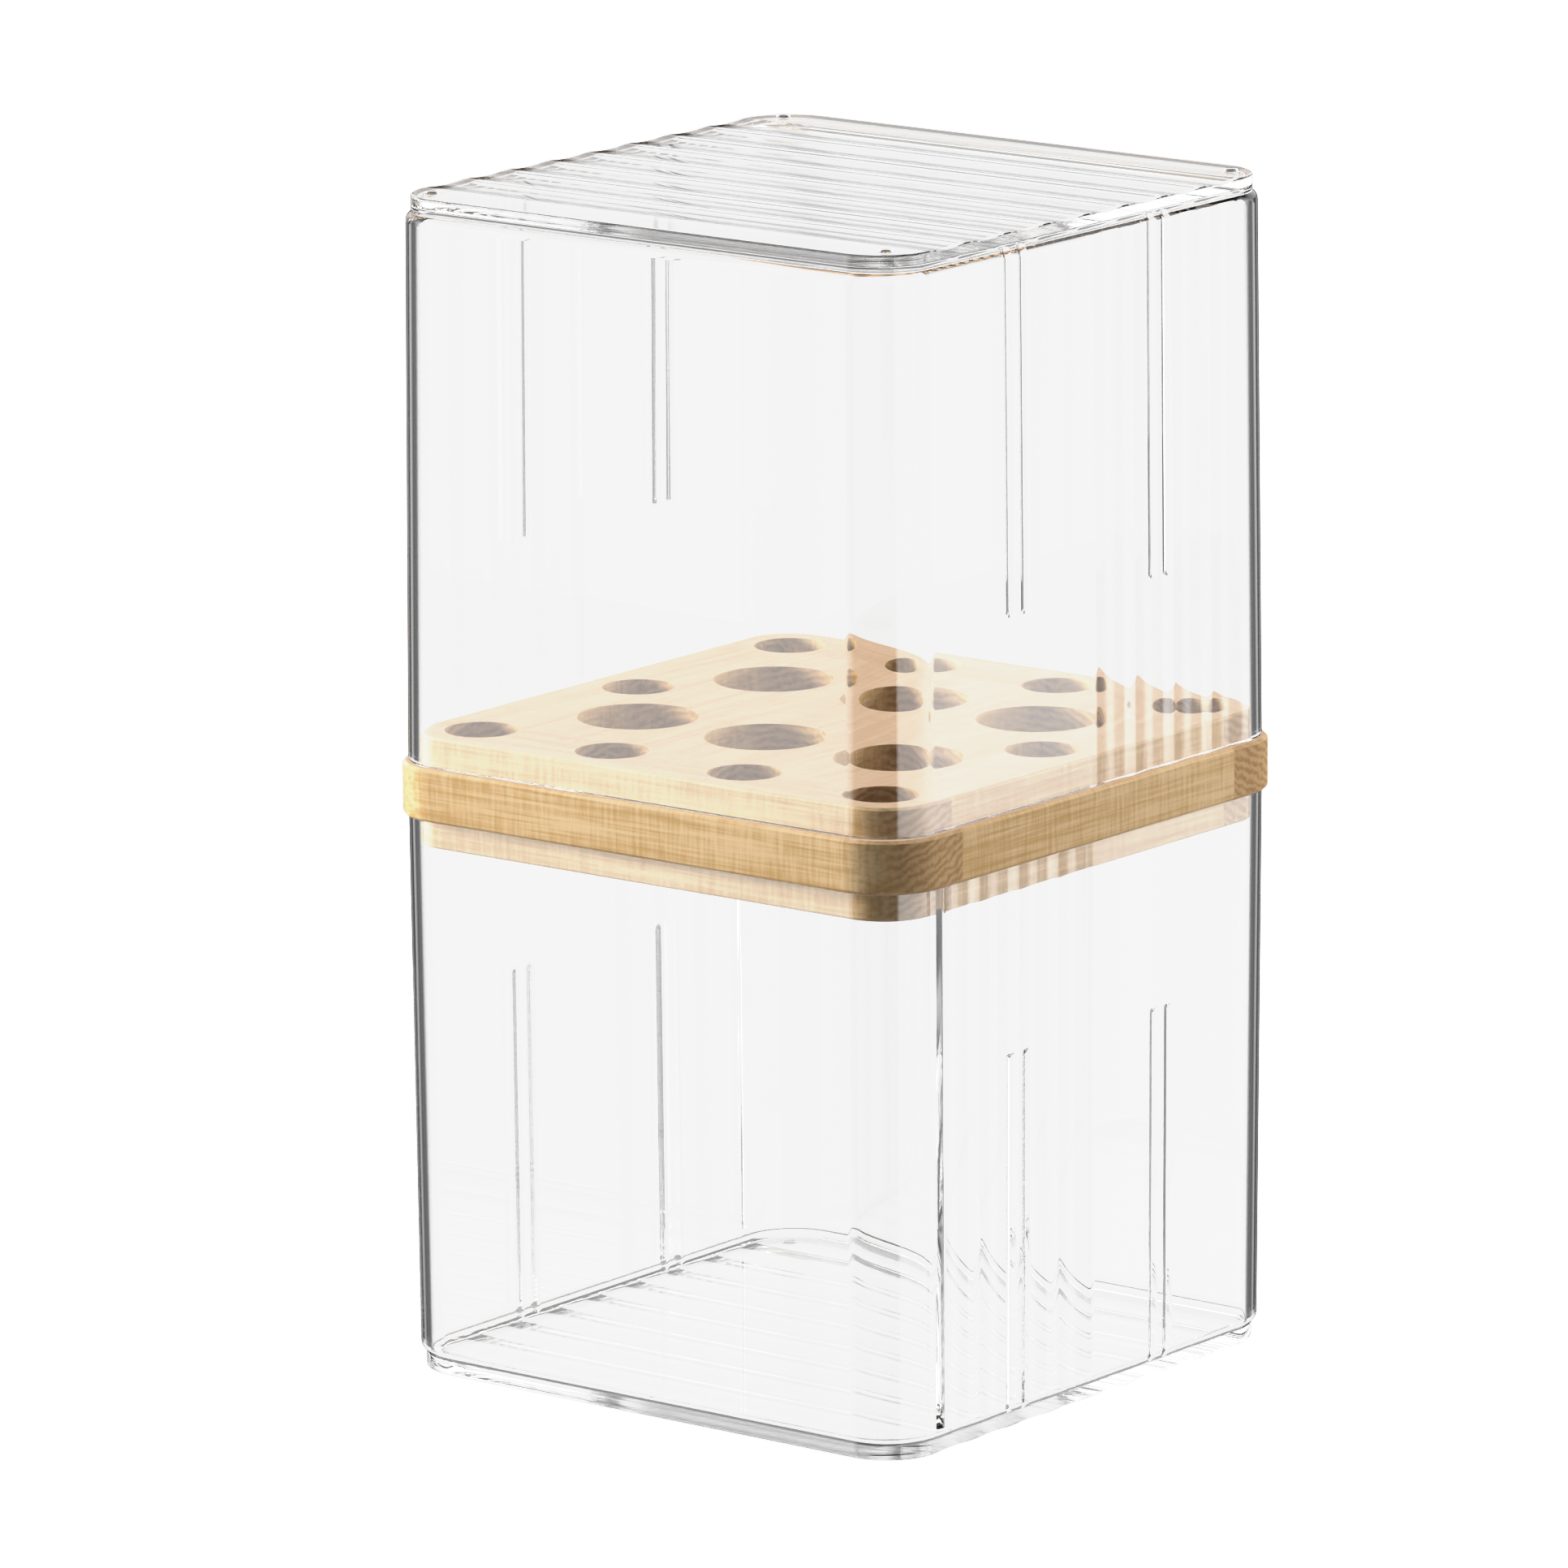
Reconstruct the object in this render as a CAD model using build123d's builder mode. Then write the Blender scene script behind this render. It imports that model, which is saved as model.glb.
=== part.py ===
from build123d import *
from math import atan, cos, degrees, radians, sin, tan
import os

# A brush holder that stands on a vanity table. A thick drilled wooden board sits between two
# identical clear moulded bins. The lower bin stands upright and stores things, the upper one is
# the same moulding turned upside down as a dust cover. Nothing fastens them: a spigot routed on
# each face of the board drops inside a rim, and each part lifts straight up off the one below.
#
# Millimetres, +Z up, -Y front. The origin is the middle of the footprint, where the feet stand.

# ---------------------------------------------------------------- the clear bin, as it stands open
bin_height = 117.1  # feet to rim
rim_side = 131.4  # outside, at the rim
corner_radius = 12.6  # outside, up each upright corner
draft_angle = 0.35  # degrees, each wall leans out towards the rim
wall = 2.2
floor_thickness = 2.5
floor_edge_chamfer = 1.6

base_plate_height = 3.4  # the plate that the bin stands on, stepped in all round
base_plate_step = 1.1
base_plate_edge_chamfer = 0.6
shoulder_radius = 2.0  # where the wall turns in to the step

foot_height = 0.6
foot_diameter = 3.2
foot_edge_distance = 6.4  # foot centre to the plate's side

flutes_per_half_wall = 4
flute_depth = 0.45
flute_ridge_width = 2.6  # the rounded crest between two scooped flutes
bead_radius = 1.4  # a half-round bead closes each fluted field at the corner
bead_rise = 0.7  # how far it stands out at the rim
bead_inset = 1.0  # from the start of the corner's curve to the bead's middle

rib_pair_spacing = 48.0  # between the middles of the two pairs of ribs on one wall
rib_pair_gap = 5.0  # between the two ribs of one pair
rib_height = 78.2  # up from the feet
rib_foot_width = 1.4
rib_crest_width = 0.4
rib_depth = 0.8
rib_end_slope = 1.0

# ---------------------------------------------------------------- the wooden board
band_thickness = 11.0  # the part that shows all round, between the rims
band_overhang = 1.2  # how far the band stands out past the rims
band_edge_chamfer = 0.6
spigot_depth = 6.0  # how far the board drops into each bin
spigot_clearance = 0.4  # each side, inside a rim
spigot_edge_chamfer = 0.5
batten_width = 21.0  # the cross-grained battens glued to the panel, front and rear

wide_hole_diameter = 25.0
wide_hole_columns = 3
wide_hole_column_pitch = 33.0
wide_hole_row_pitch = 45.0
narrow_hole_diameter = 15.0
narrow_hole_columns = 4
narrow_hole_column_pitch = 34.0
narrow_hole_row_pitch = 51.0

# ---------------------------------------------------------------- what follows from them
draft_slope = tan(radians(draft_angle))
base_plate_top = foot_height + base_plate_height
closed_side = rim_side - 2 * (bin_height - base_plate_top) * draft_slope
base_plate_side = closed_side - 2 * base_plate_step
base_plate_corner_radius = corner_radius - base_plate_step
floor_top = foot_height + floor_thickness
inner_rim_side = rim_side - 2 * wall
inner_corner_radius = corner_radius - wall
inner_floor_side = inner_rim_side - 2 * (bin_height - floor_top) * draft_slope

flat_half_wall = closed_side / 2 - corner_radius
flute_pitch = flat_half_wall / flutes_per_half_wall
flute_slope = 2 * degrees(atan(2 * flute_depth / flute_pitch))  # steepest, where scoop meets crest
crest_radius = flute_ridge_width / 2 / sin(radians(flute_slope))

bead_place = flat_half_wall - bead_inset
bead_centre = rim_side / 2 + bead_rise - bead_radius

band_bottom = bin_height
band_top = band_bottom + band_thickness
board_top = band_top + spigot_depth
overall_height = band_top + bin_height
spigot_side = inner_rim_side - 2 * spigot_clearance
spigot_radius = inner_corner_radius - spigot_clearance
band_side = rim_side + 2 * band_overhang
band_radius = corner_radius + band_overhang
batten_joint = band_side / 2 - batten_width

rib_root = wall / 4  # how deep a rib's foot starts inside the wall and the floor
rib_places = [
    pair + side * rib_pair_gap / 2
    for pair in (-rib_pair_spacing / 2, rib_pair_spacing / 2)
    for side in (-1, 1)
]
flute_waste = 4 * flute_depth  # how far a cutter reaches above the face that it cuts


def flute_cutter(count):
    """Sketch of what count scooped flutes take off a face that lies along +X from the origin.

    Every scoop is tangent to a rounded crest at both ends, and the waste reaches above the face.
    """
    half_crest = flute_ridge_width / 2
    crest_drop = crest_radius * (1 - cos(radians(flute_slope)))
    end_slope = flute_slope / 2
    end_run = crest_radius * sin(radians(end_slope))
    end_drop = crest_radius * (1 - cos(radians(end_slope)))
    length = count * flute_pitch
    with BuildSketch(mode=Mode.PRIVATE) as cutter:
        with BuildLine():
            ThreePointArc((0, 0), (end_run, -end_drop), (half_crest, -crest_drop))
            for flute in range(count):
                ridge = flute * flute_pitch
                next_ridge = ridge + flute_pitch
                scoop_start = (ridge + half_crest, -crest_drop)
                scoop_end = (next_ridge - half_crest, -crest_drop)
                ThreePointArc(scoop_start, (ridge + flute_pitch / 2, -flute_depth), scoop_end)
                if flute < count - 1:
                    crest_end = (next_ridge + half_crest, -crest_drop)
                    ThreePointArc(scoop_end, (next_ridge, 0), crest_end)
            ThreePointArc(scoop_end, (length - end_run, -end_drop), (length, 0))
            Polyline((length, 0), (length, flute_waste), (0, flute_waste), (0, 0))
        make_face()
    return cutter.sketch


def drafted_block(side_at_rim, bottom, upright_radius):
    """A square block that narrows by the draft from the rim's height down to its bottom.

    Its upright edges keep one radius all the way, leaning with the walls.
    """
    rim_plane = Plane.XY.offset(bin_height)
    with BuildPart(mode=Mode.PRIVATE) as block:
        with BuildSketch(rim_plane):
            Rectangle(side_at_rim, side_at_rim)
        extrude(amount=-(bin_height - bottom))
        draft(block.faces().filter_by(Axis.Z, reverse=True), rim_plane, -draft_angle)
        upright = block.edges().filter_by(lambda edge: edge.bounding_box().size.Z > upright_radius)
        fillet(upright, upright_radius)
    return block.part


def clear_bin():
    """One clear moulded bin, standing on its feet with its open side up."""
    outside = drafted_block(rim_side, base_plate_top, corner_radius)
    cavity = drafted_block(inner_rim_side, floor_top, inner_corner_radius)
    with BuildPart() as moulding:
        # The walls turn in to a stepped base plate, and the cavity keeps their draft.
        add(outside)
        fillet(moulding.edges().group_by(Axis.Z)[0], shoulder_radius)
        with BuildSketch(Plane.XY.offset(foot_height)):
            RectangleRounded(base_plate_side, base_plate_side, base_plate_corner_radius)
        extrude(amount=base_plate_height)
        chamfer(moulding.edges().group_by(Axis.Z)[0], base_plate_edge_chamfer)
        add(cavity, mode=Mode.SUBTRACT)
        floor_edges = moulding.edges().filter_by_position(Axis.Z, floor_top - 0.1, floor_top + 0.1)
        chamfer(floor_edges, floor_edge_chamfer)

        # Flutes up half of each side wall: the front half of the right wall and, turned about
        # the bin's axis, the rear half of the left one. They lean with the wall.
        for side in (1, -1):
            wall_face = Plane(
                origin=(side * rim_side / 2, 0, bin_height),
                x_dir=(0, -side, 0),
                z_dir=(side * draft_slope, 0, 1),
            )
            with BuildSketch(wall_face.offset(flute_waste)):
                add(flute_cutter(flutes_per_half_wall))
            extrude(amount=-(bin_height + flute_waste), mode=Mode.SUBTRACT)

        # An upright bead beside the corner end of each fluted field, from the shoulder to the rim.
        # It keeps inside the thickness of the wall, and it does not lean, so the wall falls away
        # from it towards the base.
        with BuildSketch(Plane.XY.offset(base_plate_top + shoulder_radius)):
            for side in (1, -1):
                with Locations((side * bead_centre, -side * bead_place)):
                    Circle(bead_radius)
            Rectangle(rim_side - wall, rim_side, mode=Mode.SUBTRACT)
        extrude(amount=bin_height - base_plate_top - shoulder_radius)

        # Flutes of the same pitch under the whole base plate, from side to side.
        plate_face = Plane(
            origin=(base_plate_side, -flat_half_wall, foot_height), x_dir=(0, 1, 0), z_dir=(-1, 0, 0)
        )
        with BuildSketch(plate_face):
            add(flute_cutter(2 * flutes_per_half_wall))
        extrude(amount=2 * base_plate_side, mode=Mode.SUBTRACT)

        # Four small feet outside the fluted field.
        foot_spacing = base_plate_side - 2 * foot_edge_distance
        with BuildSketch(Plane.XY):
            with GridLocations(foot_spacing, foot_spacing, 2, 2):
                Circle(foot_diameter / 2)
        extrude(amount=foot_height)

        # Two pairs of thin ribs up the inside of each side wall, where a nested bin would stop.
        # Each rib is lofted from its foot, just inside the wall, to its narrower crest, and its
        # top end slopes.
        rib_length = rib_height - floor_top
        for side in (1, -1):
            inner_face = Plane(
                origin=(side * inner_floor_side / 2, 0, floor_top),
                x_dir=(0, -side, 0),
                z_dir=(-side, 0, draft_slope),
            )
            for place in rib_places:
                with BuildSketch(inner_face.offset(-rib_root)):
                    with Locations((place, -rib_root)):
                        Rectangle(rib_foot_width, rib_length + rib_root, align=(Align.CENTER, Align.MIN))
                with BuildSketch(inner_face.offset(rib_depth)):
                    with Locations((place, -rib_root)):
                        Rectangle(
                            rib_crest_width,
                            rib_length + rib_root - rib_end_slope,
                            align=(Align.CENTER, Align.MIN),
                        )
                loft()
    return moulding.part


def routed_board():
    """The whole wooden board: a band that shows all round, a spigot on each face, and its holes."""
    with BuildPart() as board:
        with BuildSketch(Plane.XY.offset(band_bottom)):
            RectangleRounded(band_side, band_side, band_radius)
        extrude(amount=band_thickness)
        chamfer(board.edges().group_by(Axis.Z)[0], band_edge_chamfer)
        chamfer(board.edges().group_by(Axis.Z)[-1], band_edge_chamfer)
        for face_height, depth in ((band_bottom, -spigot_depth), (band_top, spigot_depth)):
            with BuildSketch(Plane.XY.offset(face_height)):
                RectangleRounded(spigot_side, spigot_side, spigot_radius)
            extrude(amount=depth)
        chamfer(board.edges().group_by(Axis.Z)[0], spigot_edge_chamfer)
        chamfer(board.edges().group_by(Axis.Z)[-1], spigot_edge_chamfer)

        narrow_columns_apart = (narrow_hole_columns - 1) * narrow_hole_column_pitch
        with Locations((0, 0, board_top)):
            with GridLocations(wide_hole_column_pitch, wide_hole_row_pitch, wide_hole_columns, 2):
                Hole(wide_hole_diameter / 2)
            with GridLocations(
                narrow_hole_column_pitch, 2 * narrow_hole_row_pitch, narrow_hole_columns, 2
            ):
                Hole(narrow_hole_diameter / 2)
            with GridLocations(narrow_columns_apart, 0, 2, 1):
                Hole(narrow_hole_diameter / 2)
    return board.part


# ---------------------------------------------------------------- the pieces
with BuildPart() as storage_bin:
    add(clear_bin())

with BuildPart() as cover_bin:
    with Locations((0, 0, overall_height)):
        add(clear_bin(), rotation=(180, 0, 0))

whole_board = routed_board()
front_joint = Plane(origin=(0, -batten_joint, 0), z_dir=(0, 1, 0))
rear_joint = Plane(origin=(0, batten_joint, 0), z_dir=(0, 1, 0))

with BuildPart() as board_panel:
    add(whole_board)
    split(bisect_by=front_joint, keep=Keep.TOP)
    split(bisect_by=rear_joint, keep=Keep.BOTTOM)

with BuildPart() as front_batten:
    add(whole_board)
    split(bisect_by=front_joint, keep=Keep.BOTTOM)

with BuildPart() as rear_batten:
    add(whole_board)
    split(bisect_by=rear_joint, keep=Keep.TOP)

# ---------------------------------------------------------------- one file for each piece
storage_bin.part.label = "storage_bin"
cover_bin.part.label = "cover_bin"
board_panel.part.label = "board_panel"
front_batten.part.label = "front_batten"
rear_batten.part.label = "rear_batten"

os.makedirs("parts", exist_ok=True)
for piece in (storage_bin, cover_bin, board_panel, front_batten, rear_batten):
    export_step(piece.part, f"parts/{piece.part.label}.step")
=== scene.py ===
from math import acos, atan, cos, pi, radians, sin, sqrt, tan

import bmesh
import bpy
from mathutils import Matrix, Vector


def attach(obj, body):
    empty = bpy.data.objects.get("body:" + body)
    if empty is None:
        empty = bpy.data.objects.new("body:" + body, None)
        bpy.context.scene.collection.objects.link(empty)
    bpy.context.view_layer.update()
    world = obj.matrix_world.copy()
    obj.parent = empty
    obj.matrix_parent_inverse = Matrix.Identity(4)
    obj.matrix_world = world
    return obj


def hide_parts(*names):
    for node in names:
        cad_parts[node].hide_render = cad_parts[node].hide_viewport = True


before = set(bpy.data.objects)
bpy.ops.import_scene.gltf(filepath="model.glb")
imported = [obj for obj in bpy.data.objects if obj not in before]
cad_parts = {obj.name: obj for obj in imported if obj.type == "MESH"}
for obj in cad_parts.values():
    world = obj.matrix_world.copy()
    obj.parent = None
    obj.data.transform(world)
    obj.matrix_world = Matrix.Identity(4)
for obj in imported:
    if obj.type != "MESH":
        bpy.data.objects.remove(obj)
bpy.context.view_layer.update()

# A brush holder: a drilled wooden board between two clear moulded bins. Blender works in metres;
# the sizes below are the part's own, in millimetres, +Z up, -Y front.
MM = 0.001

# ---------------------------------------------------------------- camera
CAMERA_PLACE = Vector((1.46951, -1.89638, 0.65644))
CAMERA_AZIMUTH = 38.03  # degrees, from looking along +Y
CAMERA_ELEVATION = 12.6
CAMERA_ROLL = -0.43
FOCAL_LENGTH = 276.43  # millimetres, on a 36 mm sensor
SENSOR = 36.0

# ---------------------------------------------------------------- the clear bin, as it stands open
BIN_HEIGHT = 117.1
RIM_SIDE = 131.4
CORNER_RADIUS = 12.6
DRAFT = tan(radians(0.35))
WALL = 2.2
FLOOR_THICKNESS = 2.5
FLOOR_EDGE_RADIUS = 1.6
RIM_EDGE_RADIUS = 0.35
HEM = 0.06  # a row this far beside each rounding keeps its shading off the flat faces

PLATE_HEIGHT = 3.4
PLATE_STEP = 1.1
PLATE_EDGE_RADIUS = 0.6
SHOULDER_RADIUS = 2.0

FOOT_HEIGHT = 0.6
FOOT_DIAMETER = 3.2
FOOT_EDGE_DISTANCE = 6.4
# The domed end's points: a share of the foot's radius, and a height
FOOT_DOME = ((0.4, 0.0), (0.62, 0.06), (0.82, 0.16), (0.95, 0.32), (1.0, 0.5), (1.0, 0.59))

FLUTES = 4  # up half of each side wall
FLUTE_DEPTH = 0.45
RIDGE_WIDTH = 2.6

# The ribs are wider and lower here than in the solids, so that their lines show as in the photograph.
RIB_PLACES = (-26.5, -21.5, 21.5, 26.5)
RIB_TOP = 78.2
RIB_FOOT = 3.2
RIB_CREST = 0.4
RIB_SLOPES = (24.0, 28.0)  # degrees, of a rib's flanks near its foot and near its crest
RIB_END = 1.0  # over which a rib sinks into the wall at its end

BEAD_PLACE = 51.4  # an upright bead beside the corner end of each fluted field, on the storage bin
BEAD_RADIUS = 1.4
BEAD_RISE = 0.7
BEAD_REACH = RIM_SIDE / 2 + BEAD_RISE

BAND_THICKNESS = 11.0
OVERALL_HEIGHT = 2 * BIN_HEIGHT + BAND_THICKNESS

PLATE_TOP = FOOT_HEIGHT + PLATE_HEIGHT
FLOOR_TOP = FOOT_HEIGHT + FLOOR_THICKNESS
CLOSED_SIDE = RIM_SIDE - 2 * (BIN_HEIGHT - PLATE_TOP) * DRAFT
FLUTE_FIELD = CLOSED_SIDE / 2 - CORNER_RADIUS  # from the middle of a wall to its corner
FLUTE_PITCH = FLUTE_FIELD / FLUTES
PLATE_HALF = CLOSED_SIDE / 2 - PLATE_STEP

CORNER_HALF = (1.0, 2.0, 3.0, 4.5, 6.0, 7.5, 9.0, 11.0, 13.5, 17.0, 21.0, 25.5, 30.0, 35.0, 40.0)
CORNER_ANGLES = CORNER_HALF + (45.0,) + tuple(90.0 - angle for angle in reversed(CORNER_HALF))
CORNER_STEPS = len(CORNER_ANGLES) + 1
SAMPLES_PER_FLUTE = 14
CREST_SHARES = (0.25, 0.5, 0.75)
BEAD_STEPS = 6
PLATE_EDGE_STEPS = 4
SHOULDER_STEPS = 6
WALL_STEPS = 8
RIM_STEPS = 3
RIB_END_STEPS = 6
FLOOR_EDGE_STEPS = 6
FOOT_STEPS = 24
PLAIN_SIDE_POINTS = 5  # of a side without flutes, its two ends among them
INNER_WALL_HEIGHTS = (50.0, 30.0, 15.0)  # rows below the ribs' ends
ABOVE_RIBS = (0.3, 0.02)  # rows this far above the ribs' ends
HIGH_INNER_ROW = 100.0
CLOSEST_PLACES = 0.03
FIELD_MARGIN = 0.15  # no place lies this near the end of a fluted field
SHARP_ANGLE = 24.0  # degrees
MERGE_DISTANCE = 0.0005


def make_camera():
    turn, rise, roll = (radians(a) for a in (CAMERA_AZIMUTH, CAMERA_ELEVATION, CAMERA_ROLL))
    back = Vector((sin(turn) * cos(rise), -cos(turn) * cos(rise), sin(rise)))
    level_right = Vector((cos(turn), sin(turn), 0))
    level_up = back.cross(level_right)
    right = cos(roll) * level_right + sin(roll) * level_up
    up = cos(roll) * level_up - sin(roll) * level_right
    data = bpy.data.cameras.new("camera")
    data.lens = FOCAL_LENGTH
    data.sensor_width = SENSOR
    data.clip_start = 0.1
    data.clip_end = 60
    camera = bpy.data.objects.new("camera", data)
    bpy.context.scene.collection.objects.link(camera)
    axes = Matrix((right, up, back)).transposed()
    camera.matrix_world = Matrix.Translation(CAMERA_PLACE) @ axes.to_4x4()
    bpy.context.scene.camera = camera


# ---------------------------------------------------------------- node helpers
def math_node(tree, operation, first, second=0.5, third=0.5):
    node = tree.nodes.new("ShaderNodeMath")
    node.operation = operation
    for socket, value in zip(node.inputs, (first, second, third)):
        if isinstance(value, (int, float)):
            socket.default_value = value
        else:
            tree.links.new(value, socket)
    return node.outputs[0]


def smooth_step(tree, value, low, high, at_low=0.0, at_high=1.0):
    node = tree.nodes.new("ShaderNodeMapRange")
    node.interpolation_type = "SMOOTHSTEP"
    tree.links.new(value, node.inputs["Value"])
    for name, number in (("From Min", low), ("From Max", high), ("To Min", at_low), ("To Max", at_high)):
        node.inputs[name].default_value = number
    return node.outputs["Result"]


def dot_with(tree, vector, direction):
    node = tree.nodes.new("ShaderNodeVectorMath")
    node.operation = "DOT_PRODUCT"
    tree.links.new(vector, node.inputs[0])
    node.inputs[1].default_value = Vector(direction).normalized()
    return node.outputs["Value"]


# ---------------------------------------------------------------- light
# What the room shows depends on how light finds it: seen straight, scattered or mirrored. The
# values were set by comparing renders with the photograph, and aren't those of one real room. The
# mirrored room is laid out round the photograph's own direction of view, and stays in the world.
AMBIENT = 0.18  # what scattered light finds
SEEN_WHITE = 2.0  # the white sweep, seen straight
THROUGH_WHITE = 1.1  # and through clear walls
# The tone curve's shoulder, light in and light out; SEEN_WHITE comes out as 1.
SHOULDER = ((0.80, 0.80), (0.95, 0.875), (1.2, 0.90), (1.5, 0.915), (1.7, 0.95))

TOWARD_CAMERA = (0.616, -0.788, 0.0)
TOWARD_RIGHT = (0.788, 0.616, 0.0)
STRAIGHT_BEHIND = (-0.616, 0.788, 0.1)
LOW_BEHIND = (-0.616, 0.788, -0.224)
ROOM_DARK = 0.12
BACKDROP = 0.95
BACK_EDGE = 0.75  # where the backdrop starts, by the cosine of the angle from straight behind
BACK_FULL = 0.92
GAP_DARK = 0.05  # a dark gap low down behind, by the cosine of the angle from its middle
GAP_EDGE = 0.90
GAP_FULL = 0.96
SOFTBOX = 3.2
BOX_RIGHT = 23.0  # degrees round from the camera, where the right soft box starts
BOX_RIGHT_FULL = 26.0
BOX_LEFT = -61.0
BOX_LEFT_FULL = -76.0
BOX_END = 108.0  # and where both end
BOX_FADE = 116.0
BOX_LOW = -0.75  # the height of a direction is its z: 0 is level and 1 straight up
BOX_HIGH = 0.5
BOX_SOFTNESS = 0.15
LID_WHITE = 1.6  # a bright stretch above level
LID_EDGE = 0.0
LID_FULL = 0.15
OVERHEAD_EDGE = 0.40  # and a dark one overhead
OVERHEAD_FULL = 0.60

FLOOR_SIDE = 12  # metres
LIGHT_AIM = Vector((0, 0, 0.12))
LIGHT_DISTANCE = 1.5
# name, direction, side, strength
AREA_LIGHTS = (
    ("left_softbox", (-0.90, -0.43, 0.15), 0.5, 43),
    ("right_softbox", (0.64, 0.77, 0.15), 0.5, 14),
    ("top_softbox", (0.0, 0.1, 1.0), 1.2, 14),
)


def area_light(name, direction, side, strength):
    data = bpy.data.lights.new(name, "AREA")
    data.shape = "SQUARE"
    data.size = side
    data.energy = strength
    light = bpy.data.objects.new(name, data)
    bpy.context.scene.collection.objects.link(light)
    way = Vector(direction).normalized()
    light.location = LIGHT_AIM + way * LIGHT_DISTANCE
    light.rotation_mode = "QUATERNION"
    light.rotation_quaternion = way.to_track_quat("Z", "Y")
    light.visible_glossy = False
    light.visible_transmission = False


def mix_values(tree, factor, first, second):
    node = tree.nodes.new("ShaderNodeMix")
    for name, value in (("Factor", factor), ("A", first), ("B", second)):
        if isinstance(value, (int, float)):
            node.inputs[name].default_value = value
        else:
            tree.links.new(value, node.inputs[name])
    return node.outputs["Result"]


def mirrored_room(tree):
    """How bright the room is in mirrored light, by direction.

    A bright backdrop lies behind, with a soft box to the left and one to the right. The side
    toward the camera is dark, and so are a gap low down straight behind and the room overhead.
    """
    way = tree.nodes.new("ShaderNodeTexCoord").outputs["Generated"]
    toward = dot_with(tree, way, TOWARD_CAMERA)
    right = dot_with(tree, way, TOWARD_RIGHT)
    round_about = math_node(tree, "DEGREES", math_node(tree, "ARCTAN2", right, toward))
    split = tree.nodes.new("ShaderNodeSeparateXYZ")
    tree.links.new(way, split.inputs[0])
    height = split.outputs["Z"]

    right_edge = smooth_step(tree, round_about, BOX_RIGHT, BOX_RIGHT_FULL)
    right_end = smooth_step(tree, round_about, BOX_END, BOX_FADE, 1.0, 0.0)
    left_edge = smooth_step(tree, round_about, BOX_LEFT_FULL, BOX_LEFT, 1.0, 0.0)
    left_end = smooth_step(tree, round_about, -BOX_FADE, -BOX_END)
    right_box = math_node(tree, "MULTIPLY", right_edge, right_end)
    left_box = math_node(tree, "MULTIPLY", left_edge, left_end)
    above = smooth_step(tree, height, BOX_LOW, BOX_LOW + BOX_SOFTNESS)
    below = smooth_step(tree, height, BOX_HIGH - BOX_SOFTNESS, BOX_HIGH, 1.0, 0.0)
    boxes = math_node(tree, "MULTIPLY", math_node(tree, "ADD", right_box, left_box), SOFTBOX)
    boxes = math_node(tree, "MULTIPLY", boxes, math_node(tree, "MULTIPLY", above, below))

    behind = dot_with(tree, way, STRAIGHT_BEHIND)
    rest = smooth_step(tree, behind, BACK_EDGE, BACK_FULL, ROOM_DARK, BACKDROP)
    rest = mix_values(tree, smooth_step(tree, height, LID_EDGE, LID_FULL), rest, LID_WHITE)
    overhead = smooth_step(tree, height, OVERHEAD_EDGE, OVERHEAD_FULL)
    rest = mix_values(tree, overhead, rest, ROOM_DARK)
    gap = smooth_step(tree, dot_with(tree, way, LOW_BEHIND), GAP_EDGE, GAP_FULL, 1.0, GAP_DARK)
    return math_node(tree, "ADD", boxes, math_node(tree, "MULTIPLY", rest, gap))


def straight_white(tree, path):
    """The white sweep: brightest seen straight, less through clear walls, weak in scattered light."""
    straight = mix_values(tree, path.outputs["Is Camera Ray"], THROUGH_WHITE, SEEN_WHITE)
    is_scattered = math_node(tree, "GREATER_THAN", path.outputs["Diffuse Depth"], 0.5)
    return mix_values(tree, is_scattered, straight, AMBIENT)


def make_light():
    world = bpy.data.worlds.new("studio")
    bpy.context.scene.world = world
    world.use_nodes = True
    world.cycles.sampling_method = "NONE"
    tree = world.node_tree
    path = tree.nodes.new("ShaderNodeLightPath")
    is_mirrored = math_node(tree, "GREATER_THAN", path.outputs["Glossy Depth"], 0.5)
    strength = mix_values(tree, is_mirrored, straight_white(tree, path), mirrored_room(tree))
    background = tree.nodes["Background"]
    background.inputs["Color"].default_value = (1, 1, 1, 1)
    tree.links.new(strength, background.inputs["Strength"])
    for light in AREA_LIGHTS:
        area_light(*light)
    scene = bpy.context.scene
    scene.view_settings.view_transform = "Standard"
    scene.cycles.max_bounces = 32
    scene.cycles.transmission_bounces = 32
    scene.cycles.glossy_bounces = 24
    scene.cycles.transparent_max_bounces = 24
    hold_back_highlights(scene.view_settings)


def hold_back_highlights(view):
    """A soft shoulder: clear walls before the white sweep stay just off the sweep's own white."""
    view.use_curve_mapping = True
    mapping = view.curve_mapping
    mapping.use_clip = False
    mapping.extend = "EXTRAPOLATED"
    mapping.clip_max_x = 2 * SEEN_WHITE
    mapping.clip_max_y = 2 * SEEN_WHITE
    curve = mapping.curves[3]  # of all three colours together
    for point, (x, y) in zip(curve.points, ((0.0, 0.0), (SEEN_WHITE, 1.0))):
        point.location = (x, y)
    for x, y in SHOULDER:
        curve.points.new(x, y)
    for point in curve.points:
        point.handle_type = "VECTOR"
    mapping.update()


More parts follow.
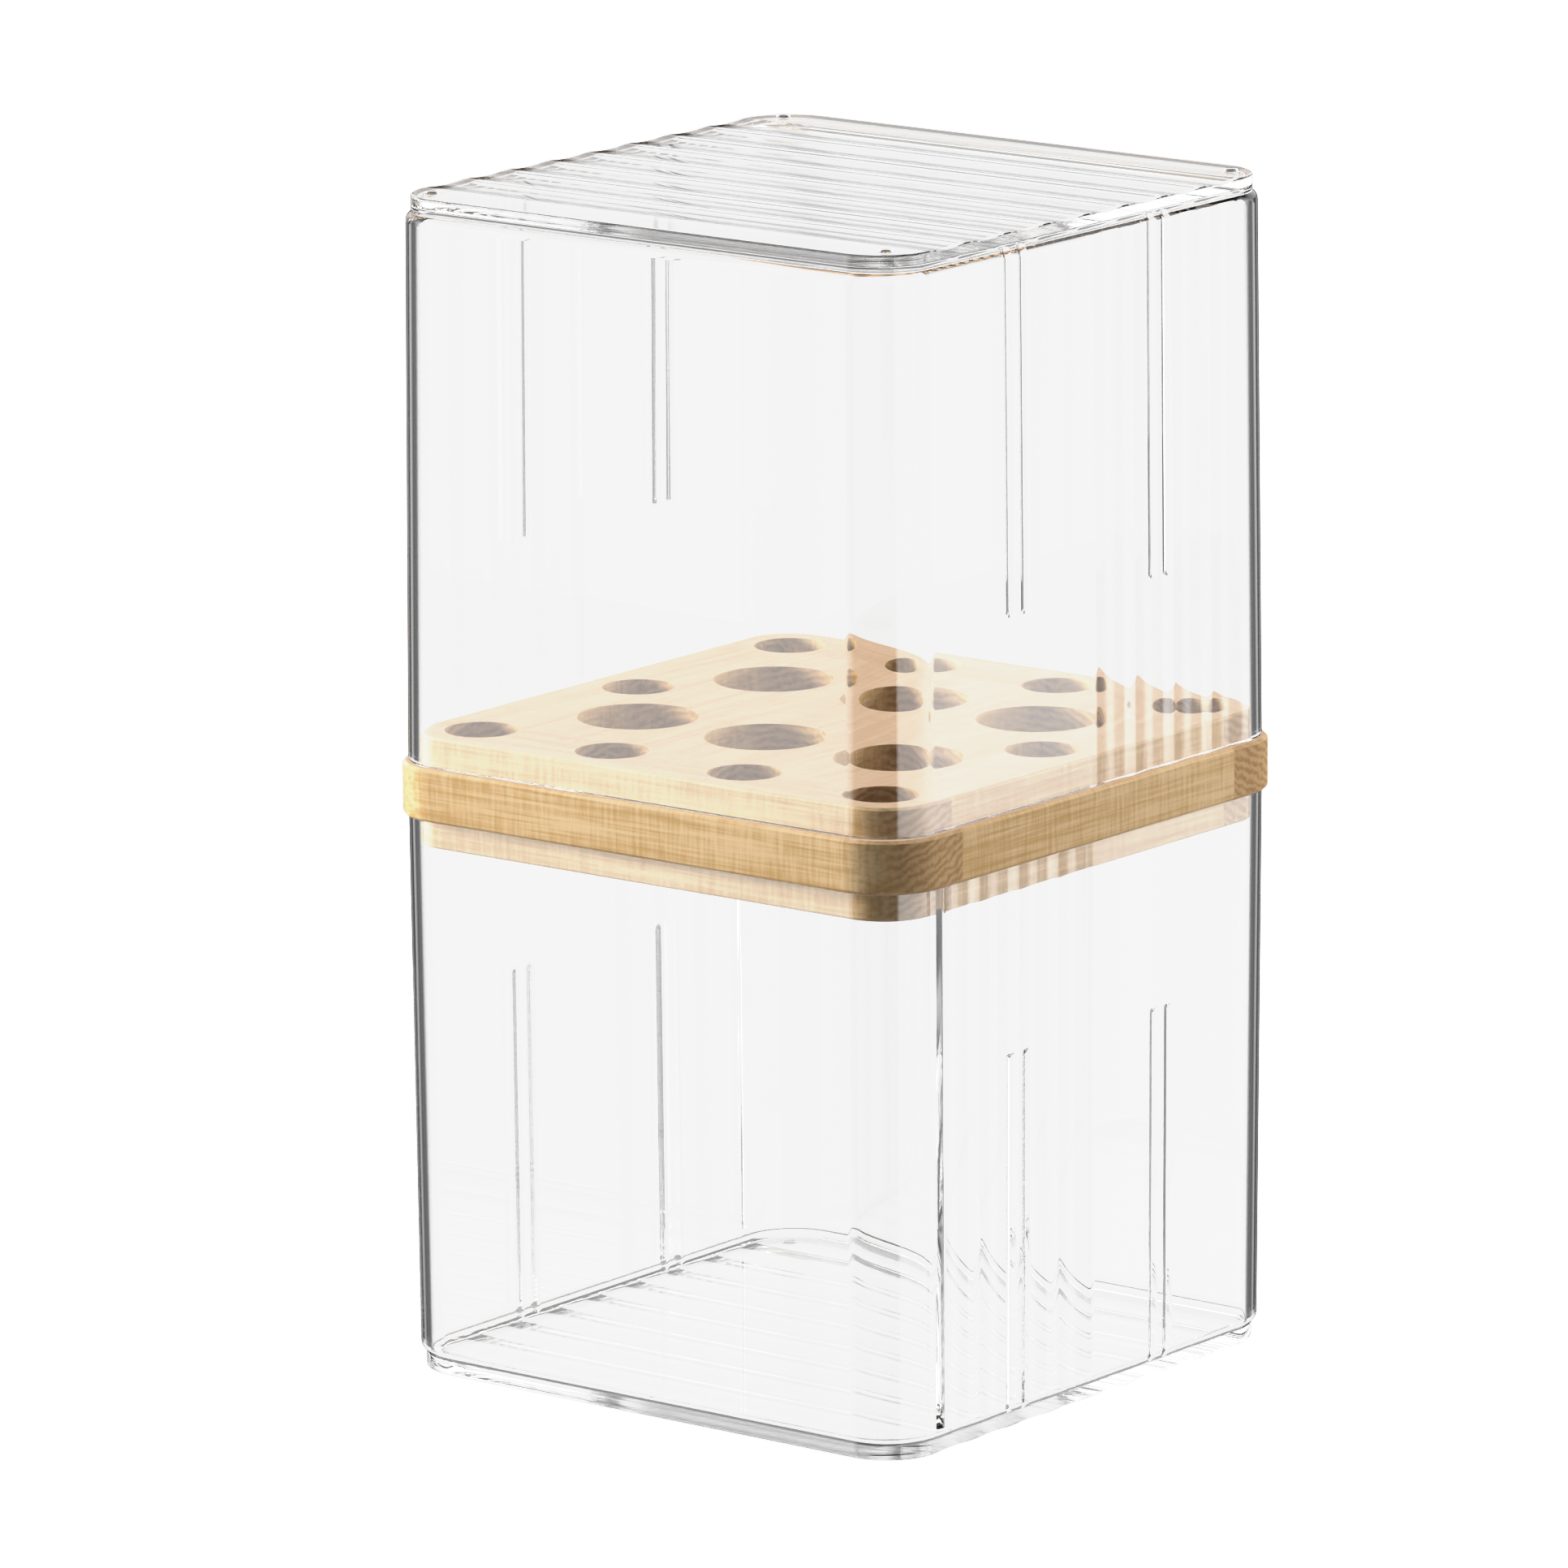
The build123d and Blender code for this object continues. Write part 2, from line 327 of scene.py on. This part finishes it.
def make_floor():
    """A white floor that shows what the room does, and lets mirrored light through to it."""
    mesh = bpy.data.meshes.new("floor")
    half = FLOOR_SIDE / 2
    corners = [(-half, -half, 0), (half, -half, 0), (half, half, 0), (-half, half, 0)]
    mesh.from_pydata(corners, [], [(0, 1, 2, 3)])
    floor = bpy.data.objects.new("floor", mesh)
    bpy.context.scene.collection.objects.link(floor)
    material = bpy.data.materials.new("floor_white")
    material.use_nodes = True
    tree = material.node_tree
    tree.nodes.remove(tree.nodes["Principled BSDF"])
    path = tree.nodes.new("ShaderNodeLightPath")
    glow = tree.nodes.new("ShaderNodeEmission")
    tree.links.new(straight_white(tree, path), glow.inputs["Strength"])
    room_beyond = tree.nodes.new("ShaderNodeBsdfTransparent")
    mix = tree.nodes.new("ShaderNodeMixShader")
    is_mirrored = math_node(tree, "GREATER_THAN", path.outputs["Glossy Depth"], 0.5)
    tree.links.new(is_mirrored, mix.inputs["Fac"])
    tree.links.new(glow.outputs["Emission"], mix.inputs[1])
    tree.links.new(room_beyond.outputs["BSDF"], mix.inputs[2])
    tree.links.new(mix.outputs["Shader"], tree.nodes["Material Output"].inputs["Surface"])
    mesh.materials.append(material)


# ---------------------------------------------------------------- materials
PLASTIC_TINT = (0.980, 0.984, 0.984)
PLASTIC_CLEAR = (0.996, 0.996, 0.996)
PLASTIC_FLOW = (40, 40, 12)  # patches to a metre, along each axis
PLASTIC_IOR = 1.5

WOOD_LIGHT = (0.82, 0.59, 0.33)
WOOD_DARK = (0.58, 0.36, 0.15)
WOOD_TOP_PAINTED_LIGHT = (0.82, 0.58, 0.39)  # faces that look up or down: a paler, lighter colour, painted light standing in for the strong light on the top
WOOD_TOP_PAINTED_LIGHT_STREAK = (0.71, 0.47, 0.29)
END_LIGHT = (0.58, 0.38, 0.19)
END_DARK = (0.38, 0.22, 0.10)
FIBRES = (45, 1500)  # patches to a metre, along the grain and across it
BANDS = (9, 150)
RAYS = (1100, 90)
FIBRE_SHARE = 0.9  # how much each pattern adds about its own middle
BAND_SHARE = 0.9
RAY_SHARE = 0.7
TONE_RANGE = (0.22, 0.78)
RING_SCALE = 150
PIT_SCALE = 700
RING_SHARE = 0.35
MOTTLE_RANGE = (0.40, 0.90)
END_ON_RANGE = (0.45, 0.80)  # how far a face looks along the grain
TOP_LIGHT_RANGE = (0.6, 0.95)  # how far a face looks up or down, for the painted top light
FIBRE_RANGE = (0.3, 0.7)
WOOD_ROUGHNESS = (0.62, 0.48)  # between fibres and on them
WOOD_SPECULAR = 0.15
GRAIN_BUMP = 0.25
GRAIN_DEPTH = 0.0002


def noise(tree, vector, detail=3.0, roughness=0.55, distortion=0.0):
    node = tree.nodes.new("ShaderNodeTexNoise")
    tree.links.new(vector, node.inputs["Vector"])
    values = {"Scale": 1.0, "Detail": detail, "Roughness": roughness, "Distortion": distortion}
    for name, value in values.items():
        node.inputs[name].default_value = value
    return node.outputs["Fac"]


def stretched(tree, vector, factors):
    node = tree.nodes.new("ShaderNodeVectorMath")
    node.operation = "MULTIPLY"
    tree.links.new(vector, node.inputs[0])
    node.inputs[1].default_value = factors
    return node.outputs["Vector"]


def mix_colours(tree, factor, first, second):
    node = tree.nodes.new("ShaderNodeMix")
    node.data_type = "RGBA"
    tree.links.new(factor, node.inputs["Factor"])
    for socket, value in ((node.inputs[6], first), (node.inputs[7], second)):
        if isinstance(value, tuple):
            socket.default_value = (*value, 1)
        else:
            tree.links.new(value, socket)
    return node.outputs[2]


def clear_plastic():
    material = bpy.data.materials.new("clear_plastic")
    material.use_nodes = True
    tree = material.node_tree
    shader = tree.nodes["Principled BSDF"]
    shader.inputs["Transmission Weight"].default_value = 1
    shader.inputs["Roughness"].default_value = 0.0
    shader.inputs["IOR"].default_value = PLASTIC_IOR
    place = tree.nodes.new("ShaderNodeTexCoord").outputs["Object"]
    flow = noise(tree, stretched(tree, place, PLASTIC_FLOW), detail=2)
    tree.links.new(mix_colours(tree, flow, PLASTIC_TINT, PLASTIC_CLEAR), shader.inputs["Base Color"])
    clear = tree.nodes.new("ShaderNodeBsdfTransparent")
    path = tree.nodes.new("ShaderNodeLightPath")
    mix = tree.nodes.new("ShaderNodeMixShader")
    tree.links.new(path.outputs["Is Shadow Ray"], mix.inputs["Fac"])
    tree.links.new(shader.outputs["BSDF"], mix.inputs[1])
    tree.links.new(clear.outputs["BSDF"], mix.inputs[2])
    tree.links.new(mix.outputs["Shader"], tree.nodes["Material Output"].inputs["Surface"])
    return material


def end_grain(tree, spot, grain_axis):
    """Growth rings with pits, as a colour."""
    rings = tree.nodes.new("ShaderNodeTexWave")
    rings.wave_type = "RINGS"
    rings.rings_direction = "XYZ"[grain_axis]
    tree.links.new(stretched(tree, spot, (RING_SCALE,) * 3), rings.inputs["Vector"])
    for socket, value in (("Scale", 1.2), ("Distortion", 6.0), ("Detail", 3.0), ("Detail Scale", 1.5)):
        rings.inputs[socket].default_value = value
    pits = noise(tree, stretched(tree, spot, (PIT_SCALE,) * 3), detail=4, roughness=0.7)
    mottled = math_node(tree, "MULTIPLY_ADD", rings.outputs["Fac"], RING_SHARE, pits)
    return mix_colours(tree, smooth_step(tree, mottled, *MOTTLE_RANGE), END_DARK, END_LIGHT)


def wood(name, grain_axis):
    """Light hardwood whose grain runs along one axis, with darker, mottled end grain."""
    material = bpy.data.materials.new(name)
    material.use_nodes = True
    tree = material.node_tree
    shader = tree.nodes["Principled BSDF"]
    place = tree.nodes.new("ShaderNodeTexCoord")
    spot = place.outputs["Object"]

    def along_grain(along, across):
        factors = [across, across, across]
        factors[grain_axis] = along
        return stretched(tree, spot, factors)

    fibres = noise(tree, along_grain(*FIBRES), detail=4)
    bands = noise(tree, along_grain(*BANDS), detail=2, distortion=0.6)
    rays = noise(tree, along_grain(*RAYS), detail=3)
    streaks = math_node(tree, "MULTIPLY_ADD", fibres, FIBRE_SHARE, 0.5 - FIBRE_SHARE / 2)
    for pattern, share in ((bands, BAND_SHARE), (rays, RAY_SHARE)):
        lowered = math_node(tree, "SUBTRACT", streaks, share / 2)
        streaks = math_node(tree, "MULTIPLY_ADD", pattern, share, lowered)
    tone = smooth_step(tree, streaks, *TONE_RANGE)
    side_colour = mix_colours(tree, tone, WOOD_DARK, WOOD_LIGHT)
    # Painted light: faces that look up or down get paler, lighter colours, standing in for the strong
    # light falling on the top.
    lit_top_colour = mix_colours(tree, tone, WOOD_TOP_PAINTED_LIGHT_STREAK, WOOD_TOP_PAINTED_LIGHT)

    facing = tree.nodes.new("ShaderNodeSeparateXYZ")
    tree.links.new(place.outputs["Normal"], facing.inputs[0])
    end_on = smooth_step(tree, math_node(tree, "ABSOLUTE", facing.outputs[grain_axis]), *END_ON_RANGE)
    # Painted light: the share of the paler top colour grows as a face looks up or down.
    top_light_share = smooth_step(tree, math_node(tree, "ABSOLUTE", facing.outputs["Z"]), *TOP_LIGHT_RANGE)
    colour = mix_colours(tree, end_on, side_colour, end_grain(tree, spot, grain_axis))
    colour = mix_colours(tree, top_light_share, colour, lit_top_colour)
    tree.links.new(colour, shader.inputs["Base Color"])
    roughness = smooth_step(tree, fibres, *FIBRE_RANGE, *WOOD_ROUGHNESS)
    tree.links.new(roughness, shader.inputs["Roughness"])
    shader.inputs["Specular IOR Level"].default_value = WOOD_SPECULAR
    bump = tree.nodes.new("ShaderNodeBump")
    bump.inputs["Strength"].default_value = GRAIN_BUMP
    bump.inputs["Distance"].default_value = GRAIN_DEPTH
    tree.links.new(streaks, bump.inputs["Height"])
    tree.links.new(bump.outputs["Normal"], shader.inputs["Normal"])
    return material


def dress(node, material):
    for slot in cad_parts[node].material_slots:
        slot.material = material


# ---------------------------------------------------------------- the clear bins' mesh
def flute_inset(place):
    """How deep the scooped flutes are at a place across them; each scoop is tangent to a crest."""
    if abs(place) > FLUTE_FIELD:
        return 0.0
    half_crest = RIDGE_WIDTH / 2
    slope = 2 * atan(2 * FLUTE_DEPTH / FLUTE_PITCH)
    crest_radius = half_crest / sin(slope)
    crest_drop = crest_radius * (1 - cos(slope))
    from_ridge = abs((place + FLUTE_PITCH / 2) % FLUTE_PITCH - FLUTE_PITCH / 2)
    if from_ridge < half_crest:
        return crest_radius - sqrt(crest_radius**2 - from_ridge**2)
    half_scoop = FLUTE_PITCH / 2 - half_crest
    sag = FLUTE_DEPTH - crest_drop
    scoop_radius = (half_scoop**2 + sag**2) / (2 * sag)
    across = FLUTE_PITCH / 2 - from_ridge
    return FLUTE_DEPTH - (scoop_radius - sqrt(scoop_radius**2 - across**2))


def beaded_reach(x, y):
    """Where a point of the outside stands once the bead beside each fluted field is on it."""
    for side in (1, -1):
        across = y + side * BEAD_PLACE
        if x * side > 0 and abs(across) < BEAD_RADIUS:
            x = side * max(x * side, BEAD_REACH - BEAD_RADIUS + sqrt(BEAD_RADIUS**2 - across**2))
    return x


def rib_rise(place, height):
    """How far the low ribs stand in from a wall's inner face; the flanks steepen toward the crest."""
    below_top = min(1.0, max(0.0, (RIB_TOP - height) / RIB_END))
    flank = (RIB_FOOT - RIB_CREST) / 2
    low, high = (tan(radians(slope)) for slope in RIB_SLOPES)
    for rib in RIB_PLACES:
        from_foot = min(flank, RIB_FOOT / 2 - abs(place - rib))
        if from_foot > 0:
            return below_top * (low * from_foot + (high - low) * max(0.0, from_foot - flank / 2))
    return 0.0


def wall_places():
    """Places along a side wall where the mesh has a line, the same both sides of its middle."""
    places = {0.0}
    half_crest = RIDGE_WIDTH / 2
    for flute in range(FLUTES):
        ridge = flute * FLUTE_PITCH
        for step in range(SAMPLES_PER_FLUTE + 1):
            across = half_crest + (FLUTE_PITCH - 2 * half_crest) * step / SAMPLES_PER_FLUTE
            places.add(round(ridge + across, 4))
        for share in CREST_SHARES:
            places.add(round(ridge + half_crest * share, 4))
            places.add(round(ridge + FLUTE_PITCH - half_crest * share, 4))
        places.add(round(ridge, 4))
    for rib in RIB_PLACES:
        mid_flank = (RIB_CREST + RIB_FOOT) / 4
        for half in (0.0, RIB_CREST / 2, mid_flank, RIB_FOOT / 2, RIB_FOOT / 2 + HEM):
            places.add(round(abs(rib + half), 4))
            places.add(round(abs(rib - half), 4))
    for step in range(-BEAD_STEPS, BEAD_STEPS + 1):
        places.add(round(BEAD_PLACE + BEAD_RADIUS * sin(pi / 2 * step / BEAD_STEPS), 4))
    limit = FLUTE_FIELD - FIELD_MARGIN
    kept = sorted(place for place in places if place < limit)
    thinned = [kept[0]]
    for place in kept[1:]:
        if place - thinned[-1] > CLOSEST_PLACES:
            thinned.append(place)
    return [-place for place in reversed(thinned) if place > 0] + thinned


def ring(half_side, radius, places, reach):
    """One closed loop of points round a square with rounded corners, counterclockwise from +X, -Y.

    reach(side, place, x) says how far out a point of a flat side stands, given its own x.
    """
    points = []
    turns = ((1, 0), (0, 1), (-1, 0), (0, -1))
    flat = half_side - radius
    for side, (c, s) in enumerate(turns):
        along = [-flat] + (places if side % 2 == 0 else [HEM - flat, 0.0, flat - HEM]) + [flat]
        local = [(reach(side, y, half_side), y) for y in along]
        for angle in (radians(degree) for degree in CORNER_ANGLES):
            local.append((flat + radius * cos(angle), flat + radius * sin(angle)))
        points += [(x * c - y * s, x * s + y * c) for x, y in local]
    return points


def plain(side, place, out):
    """The reach of a flat wall, where nothing stands out or in."""
    return out


def wall_half(z):
    return RIM_SIDE / 2 - (BIN_HEIGHT - z) * DRAFT


def inner_half(z):
    return wall_half(z) - WALL


def fluted(z, inward=0.0):
    def reach(side, place, out):
        if side % 2 or place > 0:
            return out
        return min(out, wall_half(z) - inward - flute_inset(place))

    return reach


def ribbed(z):
    def reach(side, place, out):
        if side % 2:
            return out
        return min(out, inner_half(z) - rib_rise(place, z))

    return reach


def outside_rows(places, beaded):
    """Rows of points round the outside, from the underside's edge up to the rim."""
    rows = []

    def add_row(half_side, radius, z, reach=plain, on_plate=False, on_wall=False):
        row = []
        for x, y in ring(half_side, radius, places, reach):
            height = z
            if on_wall and beaded:
                x = beaded_reach(x, y)
            if on_plate and abs(y) < FLUTE_FIELD:
                height = max(z, FOOT_HEIGHT + flute_inset(y))
            row.append((x, y, height))
        rows.append(row)

    plate_radius = CORNER_RADIUS - PLATE_STEP
    edge = PLATE_EDGE_RADIUS
    add_row(PLATE_HALF - edge - HEM, plate_radius - edge - HEM, FOOT_HEIGHT, on_plate=True)
    for step in range(PLATE_EDGE_STEPS + 1):
        angle = pi / 2 * step / PLATE_EDGE_STEPS
        inward = edge * (1 - sin(angle))
        z = FOOT_HEIGHT + edge * (1 - cos(angle))
        add_row(PLATE_HALF - inward, plate_radius - inward, z, on_plate=True)
    add_row(PLATE_HALF, plate_radius, FOOT_HEIGHT + edge + HEM)
    shoulder_start = acos((SHOULDER_RADIUS - PLATE_STEP) / SHOULDER_RADIUS)
    for step in range(SHOULDER_STEPS + 1):
        angle = shoulder_start * (1 - step / SHOULDER_STEPS)
        out = SHOULDER_RADIUS * (1 - cos(angle))
        z = PLATE_TOP + SHOULDER_RADIUS * (1 - sin(angle))
        add_row(CLOSED_SIDE / 2 - out, CORNER_RADIUS - out, z, fluted(z))
    wall_foot = PLATE_TOP + SHOULDER_RADIUS
    wall_head = BIN_HEIGHT - RIM_EDGE_RADIUS
    add_row(wall_half(wall_foot + HEM), CORNER_RADIUS, wall_foot + HEM, fluted(wall_foot + HEM))
    for step in range(WALL_STEPS + 1):
        z = wall_foot + 2 * HEM + (wall_head - wall_foot - 3 * HEM) * step / WALL_STEPS
        add_row(wall_half(z), CORNER_RADIUS, z, fluted(z), on_wall=True)
    for step in range(RIM_STEPS + 1):
        angle = pi / 2 * step / RIM_STEPS
        inward = RIM_EDGE_RADIUS * (1 - cos(angle))
        z = wall_head + RIM_EDGE_RADIUS * sin(angle)
        add_row(wall_half(z) - inward, CORNER_RADIUS - inward, z, fluted(z, inward), on_wall=True)
    inward = RIM_EDGE_RADIUS + HEM
    reach = fluted(BIN_HEIGHT, inward)
    add_row(RIM_SIDE / 2 - inward, CORNER_RADIUS - inward, BIN_HEIGHT, reach, on_wall=True)
    return rows


def inside_rows(places):
    """Rows of points round the inside, from the rim down to the floor."""
    rows = []
    radius = CORNER_RADIUS - WALL

    def add_row(half_side, corner_radius, z, reach=plain):
        rows.append([(x, y, z) for x, y in ring(half_side, corner_radius, places, reach)])

    outward = RIM_EDGE_RADIUS + HEM
    add_row(inner_half(BIN_HEIGHT) + outward, radius + outward, BIN_HEIGHT)
    for step in range(RIM_STEPS + 1):
        angle = pi / 2 * step / RIM_STEPS
        outward = RIM_EDGE_RADIUS * (1 - sin(angle))
        z = BIN_HEIGHT - RIM_EDGE_RADIUS * (1 - cos(angle))
        add_row(inner_half(z) + outward, radius + outward, z)
    heights = [BIN_HEIGHT - RIM_EDGE_RADIUS - HEM, HIGH_INNER_ROW]
    heights += [RIB_TOP + above for above in ABOVE_RIBS]
    heights += [RIB_TOP - RIB_END * step / RIB_END_STEPS for step in range(RIB_END_STEPS + 1)]
    heights += [RIB_TOP - RIB_END - HEM, *INNER_WALL_HEIGHTS]
    heights += [FLOOR_TOP + FLOOR_EDGE_RADIUS + HEM, FLOOR_TOP + FLOOR_EDGE_RADIUS]
    for z in heights:
        add_row(inner_half(z), radius, z, ribbed(z))
    for step in range(1, FLOOR_EDGE_STEPS + 1):
        angle = pi / 2 * step / FLOOR_EDGE_STEPS
        inward = FLOOR_EDGE_RADIUS * (1 - cos(angle))
        z = FLOOR_TOP + FLOOR_EDGE_RADIUS * (1 - sin(angle))
        add_row(inner_half(z) - inward, radius - inward, z, ribbed(z))
    inward = FLOOR_EDGE_RADIUS + HEM
    add_row(inner_half(FLOOR_TOP) - inward, radius - inward, FLOOR_TOP, ribbed(FLOOR_TOP))
    return rows


def bin_mesh(name, upside_down):
    """A clear bin's mesh. The bead is left out of the cover's, where the photograph has no such line."""
    places = wall_places()
    rows = outside_rows(places, beaded=not upside_down) + inside_rows(places)
    mesh = bpy.data.meshes.new(name)
    shell = bmesh.new()
    loops = [[shell.verts.new(point) for point in row] for row in rows]
    count = len(loops[0])
    for lower, upper in zip(loops, loops[1:]):
        for here in range(count):
            there = (here + 1) % count
            shell.faces.new((lower[here], lower[there], upper[there], upper[here]))
    shell.faces.new(loops[-1])
    fill_underside(shell, loops[0], len(places))
    add_feet(shell)
    bmesh.ops.remove_doubles(shell, verts=shell.verts, dist=MERGE_DISTANCE)
    turned = Matrix.Rotation(pi, 4, "X")
    for vertex in shell.verts:
        if upside_down:
            vertex.co = turned @ vertex.co
            vertex.co.z += OVERALL_HEIGHT
        vertex.co *= MM
    shell.to_mesh(mesh)
    shell.free()
    mesh.shade_smooth()
    mesh.set_sharp_from_angle(angle=radians(SHARP_ANGLE))
    return mesh


def fill_underside(shell, loop, place_count):
    """Strips across the underside, each between two lines of the same height from side to side."""
    side = place_count + 1 + CORNER_STEPS  # points of a fluted side and its corner
    right = [loop[index % len(loop)] for index in range(-CORNER_STEPS, side + 1)]
    first_left = side + PLAIN_SIDE_POINTS - 1
    left = [loop[index % len(loop)] for index in range(first_left, first_left + len(right))]
    left.reverse()
    for here in range(len(right) - 1):
        shell.faces.new((right[here], left[here], left[here + 1], right[here + 1]))


def add_feet(shell):
    """Four short studs with domed ends."""
    place = PLATE_HALF - FOOT_EDGE_DISTANCE
    for sx in (-1, 1):
        for sy in (-1, 1):
            rings = []
            for share, z in FOOT_DOME:
                circle = []
                for step in range(FOOT_STEPS):
                    angle = 2 * pi * step / FOOT_STEPS
                    x = sx * place + FOOT_DIAMETER / 2 * share * cos(angle)
                    y = sy * place + FOOT_DIAMETER / 2 * share * sin(angle)
                    circle.append(shell.verts.new((x, y, z)))
                rings.append(circle)
            for lower, upper in zip(rings, rings[1:]):
                for here in range(FOOT_STEPS):
                    there = (here + 1) % FOOT_STEPS
                    shell.faces.new((lower[here], lower[there], upper[there], upper[here]))
            shell.faces.new(reversed(rings[0]))
            shell.faces.new(rings[-1])


def make_bin(name, node, body, upside_down, material):
    mesh = bin_mesh(name, upside_down)
    mesh.materials.append(material)
    piece = bpy.data.objects.new(name, mesh)
    bpy.context.scene.collection.objects.link(piece)
    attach(piece, body)
    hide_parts(node)


make_camera()
make_light()
make_floor()
plastic = clear_plastic()
make_bin("storage_bin_clear", "storage_bin", "storage", False, plastic)
make_bin("cover_bin_clear", "cover_bin", "cover", True, plastic)
dress("board_panel", wood("wood_panel", 1))
for node in ("front_batten", "rear_batten"):
    dress(node, wood(f"wood_{node}", 0))
